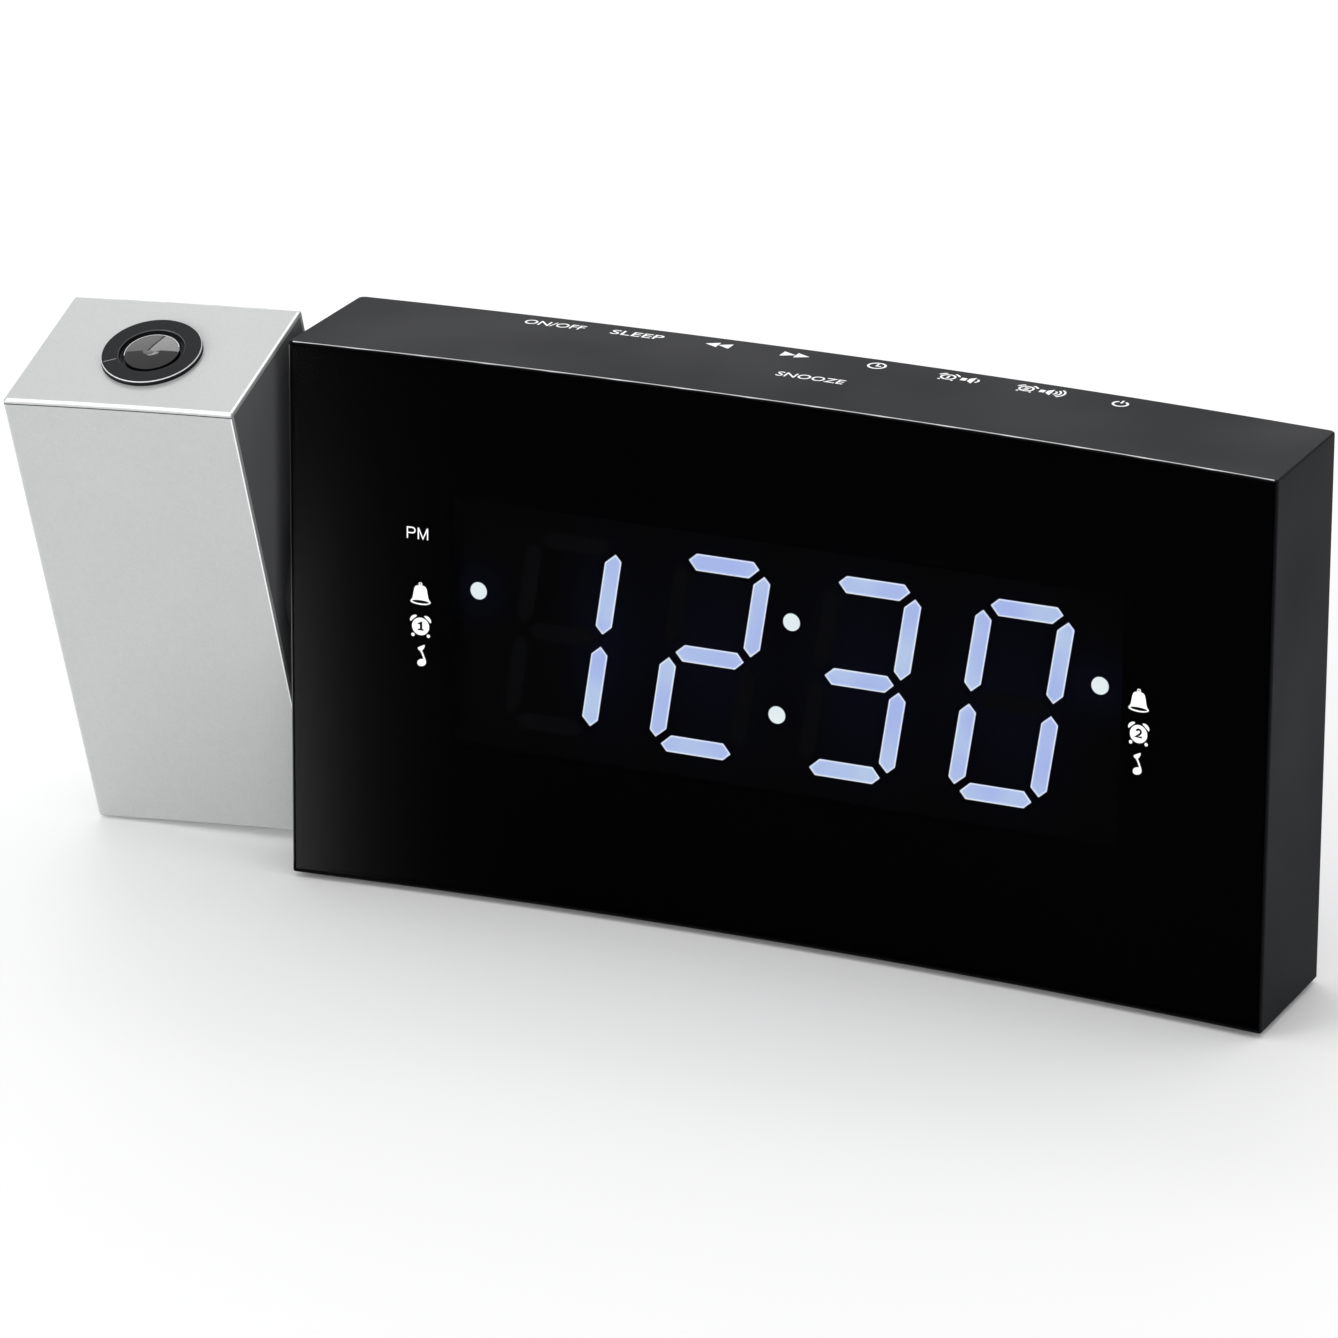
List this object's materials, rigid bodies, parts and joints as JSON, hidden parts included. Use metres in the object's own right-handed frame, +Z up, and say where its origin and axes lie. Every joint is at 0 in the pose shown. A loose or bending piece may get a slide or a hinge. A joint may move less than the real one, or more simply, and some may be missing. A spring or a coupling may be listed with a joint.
{
  "type": "projection alarm clock",
  "caption": "Slim curved projection alarm clock with a full-face digital display and a swivelling projector pod with a focus ring at its left end.",
  "frame": {"origin": "bottom centre of the whole object, at the level of the feet", "axes": "+X to the right seen from the front, along the length; +Y to the back; +Z up"},
  "size_m": [0.181, 0.0528, 0.0803],
  "materials": {
    "case_plastic": "fine matte moulded, dark grey",
    "rear_plastic": "fine matte moulded, dark grey",
    "smoked_lens": "smoked glossy acrylic",
    "foot_rubber": "matte",
    "screw_steel": "zinc plated",
    "nylon_white": "natural nylon",
    "reflector_black": "matte black",
    "segment_glow": "white diffuser, lit",
    "segment_dark": "white diffuser, unlit",
    "led_white": "phosphor",
    "board_green": "solder mask",
    "chip_black": "moulded",
    "shield_metal": "tinned",
    "speaker_steel": "black",
    "magnet_grey": "ferrite",
    "cone_paper": "pressed paper",
    "contact_brass": "bright",
    "cell_steel": "polished",
    "hub_plastic": "black",
    "lead_grey": "satin",
    "pod_silver": "satin silver paint",
    "pod_dark": "dark grey matte",
    "sink_aluminium": "extruded",
    "projector_led": "clear red epoxy",
    "optic_glass": "polished",
    "lcd_glass": "polished",
    "ring_black": "black, satin gloss",
    "key_plastic": "black"
  },
  "bodies": {
    "case": {"battery_contact": "screw_steel", "battery_holder": "chip_black", "board_screws": "screw_steel", "coin_cell": "cell_steel", "controller_chip": "chip_black", "dc_jack": "chip_black", "dc_jack_pin": "contact_brass", "display_board": "board_green", "display_dots": "segment_glow", "display_leds": "led_white", "display_reflector": "reflector_black", "display_segments_lit": "segment_glow", "display_segments_unlit": "segment_dark", "front_lens": "smoked_lens", "key_board": "board_green", "lead_socket": "nylon_white", "main_board": "board_green", "main_case": "case_plastic", "pivot_bush": "hub_plastic", "pod_lead": "lead_grey", "quartz_crystal": "shield_metal", "rear_cover": "rear_plastic", "rear_cover_screws": "screw_steel", "rubber_feet": "foot_rubber", "snooze_touch_plate": "contact_brass", "speaker_cone": "cone_paper", "speaker_frame": "speaker_steel", "speaker_magnet": "magnet_grey", "tact_switches": "chip_black", "tuner_module": "shield_metal"},
    "projector_pod": {"pod_shell": "pod_silver", "pod_side_cover": "pod_dark", "pod_screws": "screw_steel", "projector_housing": "hub_plastic", "pod_socket": "nylon_white", "projector_board": "board_green", "heat_sink": "sink_aluminium", "projector_led": "projector_led", "condenser_lens": "optic_glass", "projection_lcd": "lcd_glass", "pivot_hub": "hub_plastic", "friction_washer": "hub_plastic", "hub_clip": "screw_steel"},
    "focus_ring": {"focus_ring": "ring_black"},
    "lens_cell": {"lens_cell": "hub_plastic", "projection_lens": "optic_glass"},
    "battery_door": {"battery_door": "rear_plastic"},
    "key_alarm_one": {"key_alarm_one": "key_plastic"},
    "key_alarm_two": {"key_alarm_two": "key_plastic"},
    "key_clock_set": {"key_clock_set": "key_plastic"},
    "key_on_off": {"key_on_off": "key_plastic"},
    "key_projector_power": {"key_projector_power": "key_plastic"},
    "key_sleep": {"key_sleep": "key_plastic"},
    "key_tune_back": {"key_tune_back": "key_plastic"},
    "key_tune_forward": {"key_tune_forward": "key_plastic"}
  },
  "joints": [
    {"name": "pod_swivel", "type": "hinge", "parent": "case", "child": "projector_pod", "pos_m": [-0.057, 0.00012, 0.0403], "axis": [1, 0, 0], "range_deg": [-111, 68.5]},
    {"name": "focus_ring_turn", "type": "hinge", "parent": "projector_pod", "child": "focus_ring", "pos_m": [-0.07375, -0.01357, 0.07542], "axis": [0, -0.3633, 0.9317], "range_deg": [-120, 0]},
    {"name": "lens_focus_slide", "type": "slide", "parent": "projector_pod", "child": "lens_cell", "axis": [0, -0.3633, 0.9317], "range_m": [-0.0012, 0]},
    {"name": "battery_door_slide", "type": "slide", "parent": "case", "child": "battery_door", "axis": [0, 0, 1], "range_m": [0, 0.006]},
    {"name": "key_alarm_one_press", "type": "slide", "parent": "case", "child": "key_alarm_one", "axis": [0, -1, 0], "range_m": [0, 0.0005], "stiffness_N_per_m": 800, "springref_m": -0.0002},
    {"name": "key_alarm_two_press", "type": "slide", "parent": "case", "child": "key_alarm_two", "axis": [0, -1, 0], "range_m": [0, 0.0005], "stiffness_N_per_m": 800, "springref_m": -0.0002},
    {"name": "key_clock_set_press", "type": "slide", "parent": "case", "child": "key_clock_set", "axis": [0, -1, 0], "range_m": [0, 0.0005], "stiffness_N_per_m": 800, "springref_m": -0.0002},
    {"name": "key_on_off_press", "type": "slide", "parent": "case", "child": "key_on_off", "axis": [0, -1, 0], "range_m": [0, 0.0005], "stiffness_N_per_m": 800, "springref_m": -0.0002},
    {"name": "key_projector_power_press", "type": "slide", "parent": "case", "child": "key_projector_power", "axis": [0, -1, 0], "range_m": [0, 0.0005], "stiffness_N_per_m": 800, "springref_m": -0.0002},
    {"name": "key_sleep_press", "type": "slide", "parent": "case", "child": "key_sleep", "axis": [0, -1, 0], "range_m": [0, 0.0005], "stiffness_N_per_m": 800, "springref_m": -0.0002},
    {"name": "key_tune_back_press", "type": "slide", "parent": "case", "child": "key_tune_back", "axis": [0, -1, 0], "range_m": [0, 0.0005], "stiffness_N_per_m": 800, "springref_m": -0.0002},
    {"name": "key_tune_forward_press", "type": "slide", "parent": "case", "child": "key_tune_forward", "axis": [0, -1, 0], "range_m": [0, 0.0005], "stiffness_N_per_m": 800, "springref_m": -0.0002}
  ],
  "couplings": [
    {"joint": "focus_ring_turn", "follows": "lens_focus_slide", "rad_per_m": 1745.3}
  ]
}
